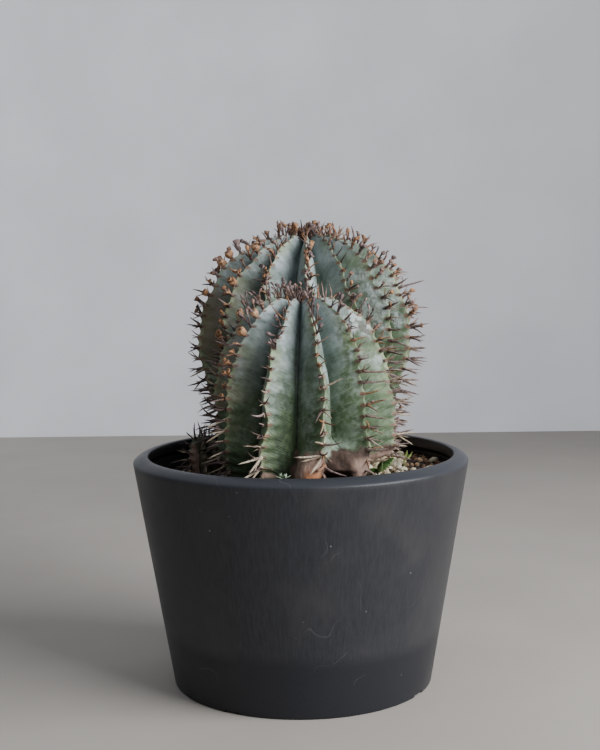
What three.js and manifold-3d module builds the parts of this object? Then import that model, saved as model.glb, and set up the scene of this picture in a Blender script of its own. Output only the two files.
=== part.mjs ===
// A potted euphorbia: two ribbed, spiny stems and a small offset, growing in gritty soil in a round tapered
// plastic pot.
// Millimetres, +Z up. The origin is the centre of the pot's underside, and -Y is the front of the plant.
import * as THREE from "three";
import { mergeVertices } from "three/addons/utils/BufferGeometryUtils.js";
import Module from "manifold-3d";

const wasm = await Module();
wasm.setup();
const { Manifold } = wasm;

// Driving dimensions.
const POT = {
  height: 124,
  baseRadius: 70,
  baseChamfer: 0.7,
  rimRadius: 90,
  rimHeight: 120, // where the straight wall ends and the lip rounds over
  // over the lip, from the rim to its underside, as [radius, height]
  lip: [[89.5, 121.1], [88.2, 122.1], [85.4, 123.6], [83.5, 124], [82.4, 123.7], [82, 122.8], [82.4, 118.5]],
  lipUnderside: 115.5,
  mouthRadius: 82,
  wall: 3,
  foot: 2.4, // height of the ring that the pot stands on
  footWidth: 4,
  floor: 3.2,
  floorCorner: 2,
  sides: 56,
};
const DRAINS = { radius: 5, circle: 42, count: 6, sides: 16 }; // and one in the middle
const NOTCHES = { count: 4, width: 9, depth: 12, height: 1.2, turn: -31 }; // turn: degrees from +X to one
const SOIL = { level: 111.5, slope: 0.03, corner: 3, sides: 40, rings: 2, seed: 5 };
const GRAINS = { count: 66, radius: 3, smallest: 0.6, spread: 0.6, flat: 0.8, fromEdge: 4.5, proud: 0.25 };
const GAP = 0.35; // clearance between pieces that touch
const GROWN = 0.56; // how much larger a stem's hole is: on its slanting flanks this leaves the same clearance
const SPINE = { radius: 0.75, shortest: 6, spread: 9, sunk: 1.5 };
const CUP = { radius: 1.45, stalk: 0.55, shortest: 3.5, spread: 2.5, from: 0.7, share: 0.65 }; // dry flower
const SITES = { from: 0.14, run: 0.8, jitter: 0.6 }; // where along a crest its spines stand, root to crown
const AIM = { sideways: 0.55, up: 0.3, droop: 0.35 }; // how far a spine's direction strays from straight out
const CLEAR = { soil: 3, lip: 3, stem: 2 }; // how far spines keep from what is near them
const LEAF_THICKNESS = 1.2; // at the middle of a weed's leaf
const STALK = { top: 0.6, bottom: 0.8, root: 6, sides: 6, hole: 2, holeSides: 10 };

// Each stem: crest and valley outlines as [radius, height] from root to growing point, and its ribs as
// [azimuth, twist, foot], azimuth 0 facing the front and 90 facing +X. A rib stands out fully above its foot.
const STEM_BACK = {
  name: "stem_back",
  axis: [1.7, 36],
  lean: 2.4, // of its top, towards +X
  flatten: [0.6, 0.78], // depth kept on the front and on the back of the stem
  crest: [
    [38, 96], [43.5, 112], [46.8, 126], [50.5, 141], [56, 157], [60, 174], [60.3, 190],
    [55.5, 207], [47.5, 221.5], [37, 231], [25, 237], [13, 240.5], [0, 235],
  ],
  valley: [
    [35, 96], [38.5, 112], [38, 126], [38, 141], [38.5, 157], [38.5, 174], [36, 190],
    [31.5, 203], [26, 213.5], [19.5, 222], [12.5, 228.5], [6, 233], [0, 235],
  ],
  ribs: [
    [-102, -14, 104], [-74, -8, 104], [-46, 0, 104], [-21, -9, 104], [7, -14, 104], [27, -3, 104],
    [50, -2, 104], [72, 4, 104], [99, -4, 104], [127, 0, 104], [155, 0, 104], [182, 0, 104],
    [207, 0, 104], [232, -6, 104],
  ],
  rows: 24,
  spines: 11,
  flowers: true,
  seed: 17,
};
const STEM_FRONT = {
  name: "stem_front",
  axis: [2.8, -25],
  lean: -1.7,
  flatten: [1, 0.66],
  crest: [
    [27, 96], [34, 112], [43, 121], [46.3, 132], [46.5, 145], [46.2, 158], [44, 171],
    [39.5, 184], [33, 195], [24.5, 203], [14, 208], [0, 204],
  ],
  valley: [
    [23, 96], [25.5, 112], [27, 121], [28, 132], [28, 145], [27, 158], [24.5, 171],
    [20.5, 182], [15, 191.5], [9.5, 198], [4.5, 202.5], [0, 204],
  ],
  ribs: [
    [-57, 18, 108], [-24, 16, 108], [11, 0, 116], [41, 0, 118], [82, 1, 130], [114, 0, 130],
    [146, 0, 124], [178, 0, 104], [210, 0, 104], [242, 4, 118], [274, 8, 118],
  ],
  rows: 22,
  spines: 10,
  flowers: true,
  seed: 23,
};
const OFFSET = {
  name: "offset_stem",
  axis: [-52, 6],
  lean: -1,
  flatten: [1, 1],
  crest: [[7, 100], [8.5, 109], [9.4, 117], [8.8, 125], [5.5, 131], [0, 131]],
  valley: [[5.5, 100], [6, 109], [6.3, 117], [5.3, 124], [2.6, 129], [0, 131]],
  ribs: [[10, 0, 100], [70, 0, 100], [130, 0, 100], [190, 0, 100], [250, 0, 100], [310, 0, 100]],
  rows: 7,
  spines: 3,
  flowers: false,
  seed: 37,
};
// Weeds: root on the soil, then each leaf as [azimuth, rise in degrees, length].
const WEEDS = [
  {
    name: "weed_front", root: [-8.5, -75], rise: 11.6, width: 1.7, lean: [0, -3],
    leaves: [[-62, 25, 4.5], [8, 38, 4.5], [80, 28, 4.3], [150, 40, 4], [215, 40, 4], [280, 72, 3.5]],
  },
  {
    name: "weed_right", root: [38.5, -20], rise: 3.2, width: 4.4, lean: [1, 0],
    leaves: [[86, 44, 13.5], [-50, 30, 6], [20, 34, 6]],
  },
  {
    name: "weed_far", root: [57, 12], rise: 3.4, width: 1.8, lean: [0, 0],
    leaves: [[90, 50, 7], [20, 62, 8], [-70, 50, 7], [200, 45, 6], [-20, 45, 6]],
  },
];

const deg = THREE.MathUtils.degToRad;
const v3 = (x, y, z) => new THREE.Vector3(x, y, z);

// A repeatable random source between 0 and 1.
function random(seed) {
  let s = seed;
  return () => {
    s = (s * 1664525 + 1013904223) % 4294967296;
    return s / 4294967296;
  };
}

// A closed three.js geometry as a solid.
function solid(geometry) {
  const g = geometry.clone();
  for (const attribute of ["normal", "uv"]) g.deleteAttribute(attribute);
  const m = mergeVertices(g, 1e-4);
  const triVerts = new Uint32Array(m.index.array);
  return new Manifold(new wasm.Mesh({ numProp: 3, vertProperties: m.attributes.position.array, triVerts }));
}

// The largest single body of a solid, as a named mesh.
function piece(name, shape, material) {
  const bodies = shape.decompose().sort((a, b) => b.volume() - a.volume());
  const mesh = bodies[0].getMesh();
  const g = new THREE.BufferGeometry();
  g.setAttribute("position", new THREE.BufferAttribute(new Float32Array(mesh.vertProperties), 3));
  g.setIndex(new THREE.BufferAttribute(new Uint32Array(mesh.triVerts), 1));
  g.computeVertexNormals();
  const made = new THREE.Mesh(g, material);
  made.name = name;
  return made;
}

const finish = (color, roughness) => new THREE.MeshStandardMaterial({ color, roughness, metalness: 0 });
const plastic = finish(0x2b2d30, 0.55);
const grit = finish(0x8a6d52, 0.95);
const skin = finish(0x6f8f80, 0.7);
const leafGreen = finish(0x4f7a45, 0.6);

const outerRadius = (z) => POT.baseRadius + ((POT.rimRadius - POT.baseRadius) * z) / POT.rimHeight;
const innerRadius = (z) => outerRadius(z) - POT.wall;

// A solid turned round the Z axis from [radius, height] points.
function turned(profile, sides) {
  const points = profile.map(([radius, z]) => new THREE.Vector2(radius, z));
  return solid(new THREE.LatheGeometry(points, sides).rotateX(Math.PI / 2));
}

function drainHoles() {
  const { radius, circle, count, sides } = DRAINS;
  const drain = new THREE.CylinderGeometry(radius, radius, 4 * POT.floor, sides).rotateX(Math.PI / 2);
  const holes = [solid(drain)];
  for (let i = 0; i < count; i++) {
    const turn = (i * 2 * Math.PI) / count;
    holes.push(solid(drain.clone().translate(circle * Math.cos(turn), circle * Math.sin(turn), 0)));
  }
  return holes;
}

function footNotches() {
  const notches = [];
  for (let i = 0; i < NOTCHES.count; i++) {
    const notch = new THREE.BoxGeometry(NOTCHES.depth, NOTCHES.width, 2 * NOTCHES.height);
    notch.translate(POT.baseRadius - POT.footWidth / 2, 0, 0);
    notches.push(solid(notch.rotateZ(deg(NOTCHES.turn + (360 * i) / NOTCHES.count))));
  }
  return notches;
}

// The pot: a turned shell with a thick rounded lip, drain holes in its floor and notches in its foot.
function pot() {
  const { foot, footWidth, baseRadius, baseChamfer, floorCorner, lipUnderside } = POT;
  const inside = foot + POT.floor;
  const profile = [
    [0, foot], [baseRadius - footWidth, foot], [baseRadius - footWidth, 0], [baseRadius - baseChamfer, 0],
    [outerRadius(baseChamfer), baseChamfer], [POT.rimRadius, POT.rimHeight], ...POT.lip,
    [innerRadius(lipUnderside), lipUnderside], [innerRadius(inside + floorCorner), inside + floorCorner],
    [innerRadius(inside) - floorCorner, inside], [0, inside],
  ];
  return turned(profile, POT.sides).subtract(Manifold.union([...drainHoles(), ...footNotches()]));
}

const soilLevel = (x) => SOIL.level + SOIL.slope * x;

// A grain of grit: an octahedron with unequal sides, standing a little proud of the soil.
function grain(next) {
  const out = Math.sqrt(next()) * (innerRadius(SOIL.level) - GRAINS.fromEdge);
  const turn = next() * 2 * Math.PI;
  const size = GRAINS.radius * (GRAINS.smallest + GRAINS.spread * next());
  const depth = GRAINS.flat + GRAINS.spread * (next() - 0.5);
  const shape = new THREE.OctahedronGeometry(size, 0).scale(1, depth, GRAINS.flat);
  const x = out * Math.cos(turn);
  shape.rotateX(Math.PI * next()).rotateZ(Math.PI * next());
  return solid(shape.translate(x, out * Math.sin(turn), soilLevel(x) + GRAINS.proud * size));
}

// The soil: fills the pot to just under the lip, a little higher at +X, with grains standing out of its top.
function soil(holes) {
  const bottom = POT.foot + POT.floor + GAP;
  const corner = bottom + SOIL.corner;
  const edge = innerRadius(SOIL.level) - GAP;
  const points = [[0, bottom], [innerRadius(bottom) - SOIL.corner, bottom]];
  points.push([innerRadius(corner) - GAP, corner]);
  for (let ring = SOIL.rings; ring >= 0; ring--) points.push([(edge * ring) / SOIL.rings, SOIL.level]);
  const body = turned(points, SOIL.sides).warp((vertex) => {
    if (vertex[2] < SOIL.level - 1) return;
    vertex[2] = soilLevel(vertex[0]);
    const widening = (innerRadius(vertex[2]) - GAP) / edge;
    vertex[0] *= widening;
    vertex[1] *= widening;
  });
  const next = random(SOIL.seed);
  const grains = Array.from({ length: GRAINS.count }, () => grain(next));
  return Manifold.union([body, ...grains]).subtract(Manifold.union(holes));
}

// How far up a stem's ribs height z lies, from 0 at the soil to 1 at the top.
function shareUp(stem, z) {
  const low = stem.crest[1][1];
  const high = stem.crest.at(-2)[1];
  return THREE.MathUtils.clamp((z - low) / (high - low), 0, 1);
}

// Where rib number `rib` of a stem faces at height z, in radians.
function ribFacing(stem, rib, z) {
  const n = stem.ribs.length;
  const [azimuth, twist] = stem.ribs[((rib % n) + n) % n];
  return deg(azimuth + twist * (shareUp(stem, z) - 0.5) + 360 * Math.floor(rib / n));
}

// A point of the stem at a facing, radius and height, on its leaning axis and flattened front and back.
function place(stem, facing, radius, z) {
  const away = -Math.cos(facing);
  const depth = radius * away * stem.flatten[away < 0 ? 0 : 1];
  return v3(stem.axis[0] + stem.lean * shareUp(stem, z) + radius * Math.sin(facing), stem.axis[1] + depth, z);
}

const outline = (points) => new THREE.SplineCurve(points.map(([r, z]) => new THREE.Vector2(r, z)));

// How far rib number `rib` stands out at height z, from 0 at the valley to 1: it tapers away under its foot.
function standing(stem, rib, z) {
  const foot = stem.ribs[rib % stem.ribs.length][2];
  return THREE.MathUtils.smoothstep(z, foot - RIB_TAPER, foot);
}

// The places across one rib: share of the way from its crest to the next valley, and how far out it stands.
const ACROSS = [[-0.1, 0.985], [0.1, 0.985], [0.55, 0.66], [1, 0], [1.45, 0.66]];
const CREST_NOTCH = 0.965; // radius kept in a notch
const RIB_TAPER = 14; // height over which a rib fades out under its foot

// The points round a stem, row by row from its root, grown outwards by `extra`, with every other row of its
// crests notched.
function ribbedPoints(stem, extra) {
  const crest = outline(stem.crest);
  const valley = outline(stem.valley);
  const points = [];
  for (let row = 0; row < stem.rows; row++) {
    const t = row / stem.rows;
    const c = crest.getPoint(t);
    const v = valley.getPoint(t);
    const notch = row % 2 ? 1 : CREST_NOTCH;
    for (let rib = 0; rib < stem.ribs.length; rib++)
      for (const [share, across] of ACROSS) {
        const out = across * standing(stem, rib, c.y);
        const radius = v.x + (c.x * notch - v.x) * out;
        const z = v.y + (c.y - v.y) * out;
        const here = ribFacing(stem, rib, z);
        const next = ribFacing(stem, rib + (share < 0 ? -1 : 1), z);
        const facing = here + (next - here) * 0.5 * Math.abs(share);
        points.push(place(stem, facing, radius + extra, z + (row < stem.rows / 2 ? -extra : extra)));
      }
  }
  return points;
}

// The bare ribbed body of a stem, closed at its root and its growing point.
function ribbedBody(stem, extra = 0) {
  const columns = stem.ribs.length * ACROSS.length;
  const points = ribbedPoints(stem, extra);
  const bottom = points.length;
  const [low, high] = [stem.crest[0], stem.crest.at(-1)];
  points.push(place(stem, 0, 0, low[1] - extra), place(stem, 0, 0, high[1] + extra));
  const faces = [];
  const last = stem.rows - 1;
  const at = (row, column) => row * columns + (column % columns);
  for (let column = 0; column < columns; column++) {
    faces.push(at(0, column), bottom, at(0, column + 1));
    for (let row = 0; row < last; row++) {
      const [a, b] = [at(row, column), at(row, column + 1)];
      const [c, d] = [at(row + 1, column + 1), at(row + 1, column)];
      faces.push(a, b, c, a, c, d);
    }
    faces.push(at(last, column), at(last, column + 1), bottom + 1);
  }
  const g = new THREE.BufferGeometry().setFromPoints(points);
  g.setIndex(faces);
  return solid(g);
}

// Whether a point lies within `margin` of the round outline of a stem's crests.
function touches(stem, point, margin) {
  const dx = point.x - stem.axis[0];
  const dy = point.y - stem.axis[1];
  const out = Math.hypot(dx, dy / stem.flatten[dy < 0 ? 0 : 1]);
  const level = (p) => Math.abs(p.y - point.z) < 2 * margin && out < p.x + margin;
  return outline(stem.crest).getPoints(50).some(level);
}

// A point on a rib's crest, and the directions out of it, along it and across it.
function crestAt(stem, rib, t) {
  const crest = outline(stem.crest);
  const c = crest.getPoint(t);
  const run = crest.getTangent(t);
  const facing = ribFacing(stem, rib, c.y);
  const radial = v3(Math.sin(facing), -Math.cos(facing), 0);
  return {
    point: place(stem, facing, c.x, c.y),
    out: radial.clone().multiplyScalar(run.y).add(v3(0, 0, -run.x)).normalize(),
    across: v3(Math.cos(facing), Math.sin(facing), 0),
  };
}

// A three-sided cone from `from` along `way`, with its root sunk in.
function thorn(from, way, length, radius) {
  const whole = length + SPINE.sunk;
  const g = new THREE.ConeGeometry(radius, whole, 3).translate(0, whole / 2 - SPINE.sunk, 0);
  g.applyQuaternion(new THREE.Quaternion().setFromUnitVectors(v3(0, 1, 0), way));
  return solid(g.translate(from.x, from.y, from.z));
}

// A dried flower: a short stalk with a cup on its end.
function driedFlower(from, way, length) {
  const end = from.clone().addScaledVector(way, length);
  const cup = new THREE.OctahedronGeometry(CUP.radius).translate(end.x, end.y, end.z);
  return [thorn(from, way, length + CUP.radius, CUP.stalk), solid(cup)];
}

// Whether something from `from` to `to` would reach the soil, the pot's lip or a neighbouring stem.
function blocked(from, to, neighbours) {
  const middle = from.clone().lerp(to, 0.5);
  const low = Math.min(to.z, middle.z) < soilLevel(to.x) + CLEAR.soil;
  const lip = Math.hypot(to.x, to.y) > POT.mouthRadius - CLEAR.lip && to.z < POT.height + CLEAR.lip;
  const near = (stem) => touches(stem, to, CLEAR.stem) || touches(stem, middle, CLEAR.stem / 2);
  return low || lip || neighbours.some(near);
}

// The spines and dried flowers of a stem, at sites along each crest: mostly flowers near the crown.
function armour(stem, neighbours) {
  const next = random(stem.seed);
  const either = (reach) => reach * (2 * next() - 1);
  const made = [];
  for (let rib = 0; rib < stem.ribs.length; rib++)
    for (let i = 0; i < stem.spines; i++) {
      const along = SITES.from + (SITES.run * (i + 0.5 + either(SITES.jitter / 2))) / stem.spines;
      const { point, out, across } = crestAt(stem, rib, along);
      const up = shareUp(stem, point.z);
      const rise = either(AIM.up) - (1 - up) * AIM.droop;
      const way = out.clone().addScaledVector(across, either(AIM.sideways)).add(v3(0, 0, rise)).normalize();
      const flower = stem.flowers && up > CUP.from && next() < CUP.share;
      const { shortest, spread } = flower ? CUP : SPINE;
      const length = shortest + spread * next() * (flower ? 1 : 1.15 - up);
      if (blocked(point, point.clone().addScaledVector(way, length + CUP.radius), neighbours)) continue;
      if (standing(stem, rib, point.z) < 1) continue;
      if (flower) made.push(...driedFlower(point, way, length));
      else made.push(thorn(point, way, length, SPINE.radius));
    }
  return made;
}

// A leaf: a thin diamond lens along +Y, its root just behind the origin.
function leaf(length, width) {
  const shape = new THREE.OctahedronGeometry(1, 0).scale(width / 2, length / 2, LEAF_THICKNESS / 2);
  return shape.translate(0, (length - LEAF_THICKNESS) / 2, 0);
}

// A weed: a short stalk out of a plain hole in the soil, with its leaves round the top.
function weed(spec) {
  const [x, y] = spec.root;
  const base = v3(x, y, soilLevel(x) - STALK.root);
  const top = v3(x + spec.lean[0], y + spec.lean[1], soilLevel(x) + spec.rise);
  const way = top.clone().sub(base);
  const stalk = new THREE.CylinderGeometry(STALK.top, STALK.bottom, way.length(), STALK.sides);
  stalk.translate(0, way.length() / 2, 0);
  stalk.applyQuaternion(new THREE.Quaternion().setFromUnitVectors(v3(0, 1, 0), way.normalize()));
  const parts = [solid(stalk.translate(base.x, base.y, base.z))];
  for (const [azimuth, rise, length] of spec.leaves) {
    const blade = leaf(length, spec.width).rotateX(deg(rise)).rotateZ(deg(azimuth) + Math.PI);
    parts.push(solid(blade.translate(top.x, top.y, top.z - STALK.top)));
  }
  return Manifold.union(parts);
}

function weedHole(spec) {
  const [x, y] = spec.root;
  const hole = new THREE.CylinderGeometry(STALK.hole, STALK.hole, 2 * STALK.root + 1, STALK.holeSides);
  return solid(hole.rotateX(Math.PI / 2).translate(x, y, soilLevel(x)));
}

const grown = (stem) => ribbedBody(stem, GROWN);
const stemFront = Manifold.union([ribbedBody(STEM_FRONT), ...armour(STEM_FRONT, [STEM_BACK, OFFSET])]);
const stemBack = Manifold.union([ribbedBody(STEM_BACK), ...armour(STEM_BACK, [STEM_FRONT, OFFSET])]);
const offset = Manifold.union([ribbedBody(OFFSET), ...armour(OFFSET, [STEM_BACK, STEM_FRONT])]);
const holes = [...[STEM_BACK, STEM_FRONT, OFFSET].map(grown), ...WEEDS.map(weedHole)];

const plant = new THREE.Group();
plant.add(
  piece("pot", pot(), plastic),
  piece("soil", soil(holes), grit),
  piece(STEM_FRONT.name, stemFront, skin),
  piece(STEM_BACK.name, stemBack.subtract(grown(STEM_FRONT)), skin),
  piece(OFFSET.name, offset, skin),
  ...WEEDS.map((spec) => piece(spec.name, weed(spec), leafGreen)),
);

export default plant;
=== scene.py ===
# A potted euphorbia: two ribbed stems and an offset in gritty soil, in a charcoal plastic pot.
import math
import random

import bpy
import numpy as np
from mathutils import Matrix, Vector, noise


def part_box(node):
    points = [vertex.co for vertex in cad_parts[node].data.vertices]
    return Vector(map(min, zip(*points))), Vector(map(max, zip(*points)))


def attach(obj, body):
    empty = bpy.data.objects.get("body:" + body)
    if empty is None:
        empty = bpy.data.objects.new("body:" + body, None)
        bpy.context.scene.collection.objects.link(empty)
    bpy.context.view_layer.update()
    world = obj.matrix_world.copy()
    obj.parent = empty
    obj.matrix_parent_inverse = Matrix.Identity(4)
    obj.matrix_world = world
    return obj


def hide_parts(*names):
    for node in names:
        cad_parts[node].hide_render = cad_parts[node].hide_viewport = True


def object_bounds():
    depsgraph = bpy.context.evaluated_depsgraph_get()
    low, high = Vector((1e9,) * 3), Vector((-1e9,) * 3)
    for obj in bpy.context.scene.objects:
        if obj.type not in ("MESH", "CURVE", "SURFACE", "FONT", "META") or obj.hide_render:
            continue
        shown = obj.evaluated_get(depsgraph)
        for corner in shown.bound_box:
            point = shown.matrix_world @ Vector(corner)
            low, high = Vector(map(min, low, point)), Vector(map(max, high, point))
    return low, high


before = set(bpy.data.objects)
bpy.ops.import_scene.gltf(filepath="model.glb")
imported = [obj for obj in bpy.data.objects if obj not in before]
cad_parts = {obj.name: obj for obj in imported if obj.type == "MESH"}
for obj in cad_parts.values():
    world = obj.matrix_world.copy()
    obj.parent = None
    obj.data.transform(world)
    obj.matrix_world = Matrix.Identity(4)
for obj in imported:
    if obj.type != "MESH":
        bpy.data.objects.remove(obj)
cad_low, cad_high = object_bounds()


# The view: a long lens a little above the rim, level with the top of the taller stem, tipped down
# slightly and turned by half a degree.
def placed(name, data):
    """A new object of the scene."""
    made = bpy.data.objects.new(name, data)
    bpy.context.scene.collection.objects.link(made)
    return made


camera = placed("camera", bpy.data.cameras.new("camera"))
bpy.context.scene.camera = camera
camera.data.lens = 62.4
camera.data.sensor_width = 36
camera_spot = Vector((0.0001, -0.6954, 0.2347))
camera_pitch = 0.0994
camera_roll = -0.0113
tipped = Matrix.Rotation(math.pi / 2 - camera_pitch, 4, "X")
camera.matrix_world = Matrix.Translation(camera_spot) @ tipped @ Matrix.Rotation(camera_roll, 4, "Z")


# The studio: a pale floor, a pale wall behind, even light from all round, and one broad soft window
# light from the right. Light and shade from that side are also painted on the floor and the wall.
class Field:
    """A node's output to reckon with: each operation on it adds one node to its tree."""

    def __init__(self, socket):
        self.socket = socket
        self.tree = socket.id_data

    def maths(self, operation, *others):
        return result(self.tree, "ShaderNodeMath", self, *others, operation=operation)

    def __add__(self, other):
        return self.maths("ADD", other)

    def __sub__(self, other):
        return self.maths("SUBTRACT", other)

    def __mul__(self, other):
        return self.maths("MULTIPLY", other)

    def __truediv__(self, other):
        return self.maths("DIVIDE", other)

    def ranged(self, low, high, to_low=0.0, to_high=1.0):
        """The value carried from one range to another, and held at its ends."""
        return result(self.tree, "ShaderNodeMapRange", self, low, high, to_low, to_high)


def put(node, socket, value):
    """Gives a node's socket a plain value, or links a field to it."""
    if isinstance(value, Field):
        node.id_data.links.new(value.socket, node.inputs[socket])
    elif node.inputs[socket].type == "RGBA":
        node.inputs[socket].default_value = (*value, 1)
    else:
        node.inputs[socket].default_value = value


def add_node(tree, kind, *values, **more):
    """A node with its first sockets given in order, and its settings and other sockets by name.

    A socket's name has a capital letter, and underscores for its spaces.
    """
    made = tree.nodes.new(kind)
    sockets = dict(enumerate(values))
    for name, value in more.items():
        if name[0].isupper():
            sockets[name.replace("_", " ")] = value
        else:
            setattr(made, name, value)
    for socket, value in sockets.items():
        put(made, socket, value)
    return made


def result(tree, kind, *values, output=0, **more):
    """One output of a new node, as a field."""
    return Field(add_node(tree, kind, *values, **more).outputs[output])


def parts_of(vector):
    return [Field(part) for part in add_node(vector.tree, "ShaderNodeSeparateXYZ", vector).outputs]


def noise_at(vector, scale, detail, distortion=0.0):
    return result(vector.tree, "ShaderNodeTexNoise", vector, Scale=scale, Detail=detail,
                  Distortion=distortion, output="Fac")


def mix_colour(factor, first, second, blend="MIX"):
    """A colour mix of values or fields, at least one of them a field."""
    tree = next(value.tree for value in (factor, first, second) if isinstance(value, Field))
    mix = add_node(tree, "ShaderNodeMix", factor, data_type="RGBA", blend_type=blend)
    put(mix, 6, first)
    put(mix, 7, second)
    return Field(mix.outputs[2])


def new_material(name, **shader):
    """A material, its Principled shader with its plain values, and where a point of its piece lies."""
    material = bpy.data.materials.new(name)
    material.use_nodes = True
    tree = material.node_tree
    tree.nodes.clear()
    surface = add_node(tree, "ShaderNodeBsdfPrincipled", **shader)
    add_node(tree, "ShaderNodeOutputMaterial", Field(surface.outputs[0]))
    return material, surface, result(tree, "ShaderNodeTexCoord", output="Object")


def flat_sheet(name, corners, colour, painted_light_near, painted_light_far):
    """A sheet of the studio, its colour lightly clouded and scaled towards the right as painted light and
    shade.
    """
    sheet = placed(name, bpy.data.meshes.new(name))
    sheet.data.from_pydata(corners, [], [range(len(corners))])
    material, surface, spot = new_material(name, Roughness=0.85)
    to_right, to_back, _ = parts_of(spot)
    near, far = ([part * shade for part in colour] for shade in (painted_light_near, painted_light_far))
    right = mix_colour(to_back.ranged(-0.1, 0.8), near, far)
    # Painted light and shade: towards the right the colour is scaled by one factor at the front and another
    # at the back.
    plain = mix_colour(to_right.ranged(-0.35, 0.4), colour, right)
    shade = noise_at(spot, 9, 7).ranged(0.35, 0.65, 0.92, 1)
    clouded = result(spot.tree, "ShaderNodeVectorMath", plain, Scale=shade, operation="SCALE")
    put(surface, "Base Color", clouded)
    sheet.data.materials.append(material)


wall_y = 0.914
reach = 6.0
# Each sheet's last two numbers scale its colour at the right front and right back: painted light and shade,
# the floor lighter at the front right and darker at the back right, the wall darker to the right.
flat_sheet("floor", [(-reach, -reach, 0), (reach, -reach, 0), (reach, wall_y, 0), (-reach, wall_y, 0)],
           (0.36, 0.331, 0.298), 1.32, 0.5)
flat_sheet("wall", [(-reach, wall_y, 0), (reach, wall_y, 0), (reach, wall_y, reach), (-reach, wall_y, reach)],
           (0.725, 0.735, 0.775), 0.56, 0.52)

world = bpy.data.worlds.new("studio")
world.use_nodes = True
put(world.node_tree.nodes["Background"], "Color", (0.86, 0.93, 1.0))
put(world.node_tree.nodes["Background"], "Strength", 0.235)
bpy.context.scene.world = world


def soft_light(name, spot, aim, size, power, colour):
    light = bpy.data.lights.new(name, "AREA")
    light.shape = "RECTANGLE"
    light.size, light.size_y = size
    light.energy = power
    light.color = colour
    lamp = placed(name, light)
    lamp.location = spot
    lamp.rotation_euler = (Vector(aim) - Vector(spot)).to_track_quat("-Z", "Y").to_euler()


soft_light("window", (1.45, -0.8, 0.88), (0, 0, 0.12), (1.5, 1.2), 74, (0.975, 0.985, 1.0))
soft_light("ceiling", (-0.3, -0.2, 2.4), (-0.1, 0, 0), (3.0, 3.0), 13, (0.93, 0.97, 1.0))


# The pot: one round tapered pot moulded in matte charcoal plastic, with a thick rounded lip. It stands
# on a foot ring cut by four drain notches, and its floor has seven drain holes.
MM = 0.001
pot_height = 124 * MM
pot_base_radius = 70 * MM
pot_rim_radius = 90 * MM
pot_rim_height = 120 * MM
pot_wall = 3 * MM
pot_foot = 2.4 * MM
pot_foot_width = 4 * MM
pot_floor = 3.2 * MM
pot_corner = 2 * MM
pot_lip = [(90, 120), (89.8, 120.7), (89.1, 121.4), (88, 122.2), (86.6, 123), (85.2, 123.6), (83.9, 123.9),
           (82.9, 123.9), (82.2, 123.5), (82, 122.8), (82.05, 121), (82.3, 118.5)]
pot_lip_underside = 115.5 * MM


def outer_radius(height):
    return pot_base_radius + (pot_rim_radius - pot_base_radius) * height / pot_rim_height


def inner_radius(height):
    return outer_radius(height) - pot_wall


def piece_from(name, points, faces=(), edges=()):
    """A mesh object at the origin from its points, edges and faces."""
    mesh = bpy.data.meshes.new(name)
    mesh.from_pydata(points, edges, faces)
    mesh.validate()
    if len(mesh.polygons):
        mesh.shade_smooth()
    return placed(name, mesh)


def given_to(tree):
    """A tree's own inputs, by their names."""
    return {socket.name: Field(socket) for socket in tree.nodes.new("NodeGroupInput").outputs}


def new_tree(name, **inputs):
    """A Geometry Nodes tree with its geometry in and out, and one named input for each size given."""
    tree = bpy.data.node_groups.new(name, "GeometryNodeTree")
    for way in ("INPUT", "OUTPUT"):
        tree.interface.new_socket("Geometry", in_out=way, socket_type="NodeSocketGeometry")
    for label, value in inputs.items():
        kind = "NodeSocketInt" if isinstance(value, int) else "NodeSocketFloat"
        made = tree.interface.new_socket(label.replace("_", " "), in_out="INPUT", socket_type=kind)
        made.default_value = value
    return tree, given_to(tree)


def vector_of(tree, x=0.0, y=0.0, z=0.0):
    return result(tree, "ShaderNodeCombineXYZ", x, y, z)


def copies(points, shape, turn, **more):
    """A shape set on every point, turned by Euler angles or a rotation."""
    if turn.socket.type == "VECTOR":
        turn = result(turn.tree, "FunctionNodeEulerToRotation", turn)
    return result(points.tree, "GeometryNodeInstanceOnPoints", points, Instance=shape, Rotation=turn, **more)


def joined(pieces):
    """Several geometries as one, with their instances made real."""
    join = add_node(pieces[0].tree, "GeometryNodeJoinGeometry")
    for piece in pieces:
        put(join, 0, piece)
    return result(join.id_data, "GeometryNodeRealizeInstances", Field(join.outputs[0]))


def finished(geometry, material):
    """Ends a tree: instances are made real, and the material is set."""
    tree = geometry.tree
    real = result(tree, "GeometryNodeRealizeInstances", geometry)
    smooth = result(tree, "GeometryNodeSetShadeSmooth", real)
    add_node(tree, "NodeGroupOutput", result(tree, "GeometryNodeSetMaterial", smooth, Material=material))
    return tree


def grown(piece, tree, name):
    """A plain mesh object of what a tree makes from a piece; the working piece is removed."""
    piece.modifiers.new("maker", "NODES").node_group = tree
    bpy.context.view_layer.update()
    mesh = bpy.data.meshes.new_from_object(piece.evaluated_get(bpy.context.evaluated_depsgraph_get()))
    mesh.name = name
    bpy.data.objects.remove(piece)
    return placed(name, mesh)


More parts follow.
